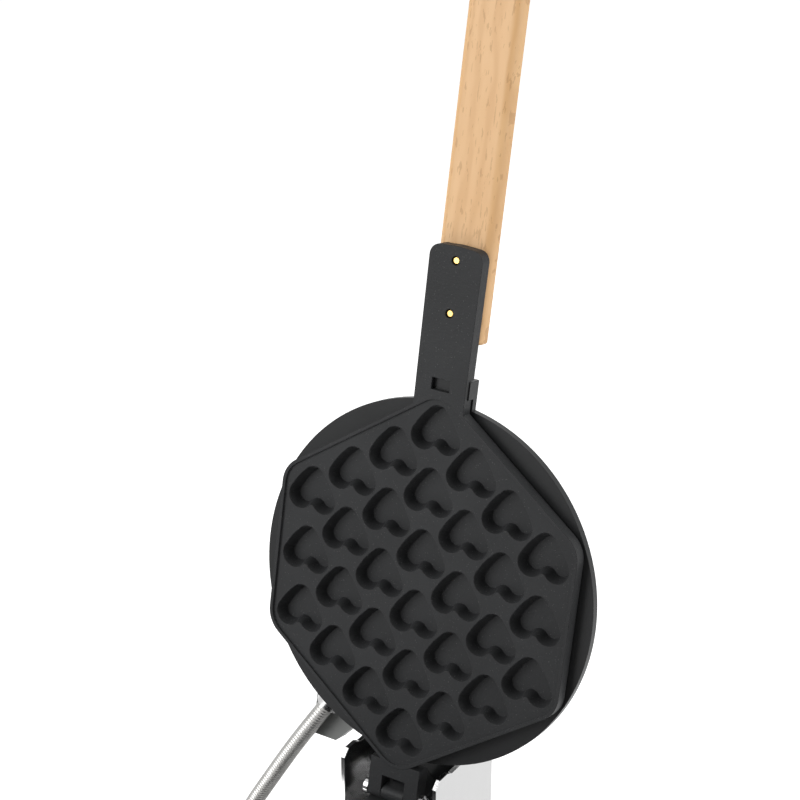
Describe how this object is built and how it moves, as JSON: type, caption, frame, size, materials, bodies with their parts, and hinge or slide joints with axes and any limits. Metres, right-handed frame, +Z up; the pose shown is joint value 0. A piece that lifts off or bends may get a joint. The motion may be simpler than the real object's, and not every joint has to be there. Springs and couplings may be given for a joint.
{
  "type": "bubble waffle maker",
  "caption": "Two-pan waffle iron with heart-shaped cups, wooden handles, a rear hinge on a polished post and a steel base box with knobs.",
  "frame": {"origin": "middle of the bottom of the bounding box, on the surface under the rubber feet", "axes": "+Z up, -Y towards the user and the lower handle, +X to the user's right"},
  "size_m": [0.26, 0.5551, 0.6372],
  "materials": {
    "black_casting": "satin",
    "polished_steel": "polished",
    "plated_steel": "polished",
    "conduit_steel": "satin",
    "grey_cover": "satin",
    "handle_wood": "oiled",
    "brass_screws": "polished",
    "heater_sheath": "matt",
    "insulation_fibre": "matt",
    "foot_rubber": "matt",
    "black_plastic": "matt",
    "red_plastic": "glossy",
    "lamp_lens": "glossy"
  },
  "bodies": {
    "base": {"base_shell": "polished_steel", "bottom_plate": "polished_steel", "rubber_feet": "foot_rubber", "foot_screws": "plated_steel", "rear_post": "polished_steel", "post_screws": "plated_steel", "front_bearing": "black_casting", "rear_bearing": "black_casting", "timer_body": "black_plastic", "thermostat_body": "black_plastic", "power_switch_frame": "black_plastic", "indicator_lamps": "lamp_lens", "terminal_block": "black_plastic", "cable_gland": "black_plastic"},
    "lower_pan": {"lower_plate": "black_casting", "lower_housing": "black_casting", "lower_handle": "handle_wood", "lower_handle_screws": "brass_screws", "lower_plate_screws": "plated_steel", "lower_heater": "heater_sheath", "lower_insulation": "insulation_fibre", "hinge_block": "black_casting", "tab_screws": "plated_steel", "flip_shaft": "polished_steel", "shaft_nut": "plated_steel", "lower_hose_connector": "plated_steel", "temperature_probe": "plated_steel", "conduit_hose": "conduit_steel"},
    "upper_pan": {"upper_plate": "black_casting", "upper_housing": "black_casting", "upper_handle": "handle_wood", "upper_handle_screws": "brass_screws", "upper_plate_screws": "plated_steel", "upper_heater": "heater_sheath", "upper_insulation": "insulation_fibre", "upper_hose_connector": "plated_steel", "upper_wiring_cover": "grey_cover", "hinge_pin": "plated_steel"},
    "timer": {"timer_knob": "black_plastic"},
    "thermostat": {"thermostat_knob": "black_plastic"},
    "power_switch": {"power_rocker": "red_plastic"}
  },
  "joints": [
    {"name": "pan_flip", "type": "hinge", "parent": "base", "child": "lower_pan", "pos_m": [0, 0.1703, 0.1955], "axis": [0, 1, 0], "range_deg": [-2.5, 2.5]},
    {"name": "lid_hinge", "type": "hinge", "parent": "lower_pan", "child": "upper_pan", "pos_m": [0, 0.1703, 0.2], "axis": [1, 0, 0], "range_deg": [0, 102], "deforming": ["conduit_hose"]},
    {"name": "timer_turn", "type": "hinge", "parent": "base", "child": "timer", "pos_m": [-0.02, -0.0947, 0.055], "axis": [0, -1, 0], "range_deg": [-300, 0]},
    {"name": "thermostat_turn", "type": "hinge", "parent": "base", "child": "thermostat", "pos_m": [0.06, -0.0947, 0.055], "axis": [0, -1, 0], "range_deg": [-270, 0]},
    {"name": "power_rock", "type": "hinge", "parent": "base", "child": "power_switch", "pos_m": [-0.082, -0.0927, 0.055], "axis": [1, 0, 0], "range_deg": [-7, 7]}
  ]
}
